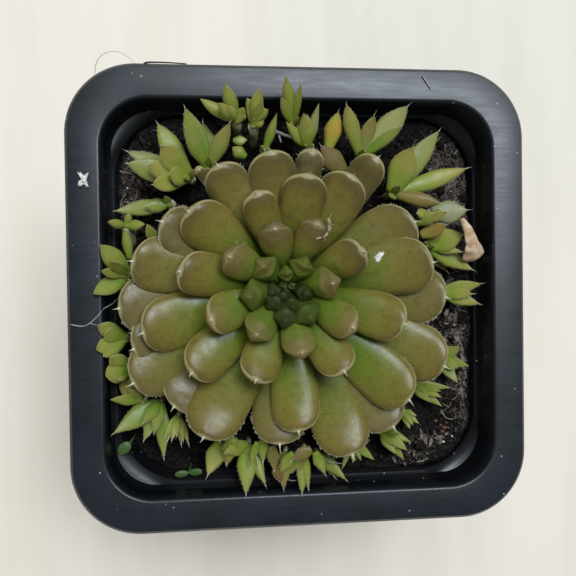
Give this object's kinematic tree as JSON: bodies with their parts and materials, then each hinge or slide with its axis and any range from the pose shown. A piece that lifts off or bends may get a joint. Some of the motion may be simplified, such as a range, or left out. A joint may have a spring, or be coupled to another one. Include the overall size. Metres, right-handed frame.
{
  "type": "potted orostachys",
  "caption": "Succulent rosette with thick blunt leaves, ringed by small pointed offsets, growing in soil in a square black plastic nursery pot.",
  "frame": {"origin": "centre of the pot's foot, on the surface that the pot stands on", "axes": "+Z up along the pot's axis, +X the viewer's right and +Y up in the picture's view from above"},
  "size_m": [0.09, 0.09, 0.0924],
  "materials": {
    "pot_plastic": "satin black moulded plastic, dusty and lightly scuffed on the rim",
    "potting_soil": "dark loose peat with fibres and a few grains",
    "mature_leaf": "waxy fleshy leaf, green at the base and olive brown toward the tip",
    "young_leaf": "waxy fleshy leaf, yellow green with an olive flush",
    "dry_leaf": "dull dry beige leaf",
    "seed_leaf": "smooth pale green seed leaf"
  },
  "bodies": {
    "root": {"pot": "pot_plastic", "soil": "potting_soil", "rosette": "mature_leaf", "offset_01": "young_leaf", "offset_02": "young_leaf", "offset_03": "young_leaf", "offset_04": "young_leaf", "offset_05": "young_leaf", "offset_06": "young_leaf", "offset_07": "young_leaf", "offset_08": "young_leaf", "offset_09": "young_leaf", "offset_10": "young_leaf", "offset_11": "young_leaf", "offset_12": "young_leaf", "offset_13": "young_leaf", "offset_14": "young_leaf", "offset_15": "young_leaf", "offset_16": "young_leaf", "offset_17": "young_leaf", "offset_18": "young_leaf", "offset_19": "young_leaf", "offset_20": "young_leaf", "offset_21": "young_leaf", "offset_22": "young_leaf", "offset_23": "young_leaf", "offset_24": "young_leaf", "offset_25": "young_leaf", "offset_26": "young_leaf", "offset_27": "young_leaf", "offset_28": "young_leaf", "offset_29": "young_leaf", "offset_30": "young_leaf", "offset_31": "young_leaf", "offset_32": "young_leaf", "dry_leaf": "dry_leaf", "seedling_1": "seed_leaf", "seedling_2": "seed_leaf"}
  },
  "joints": []
}
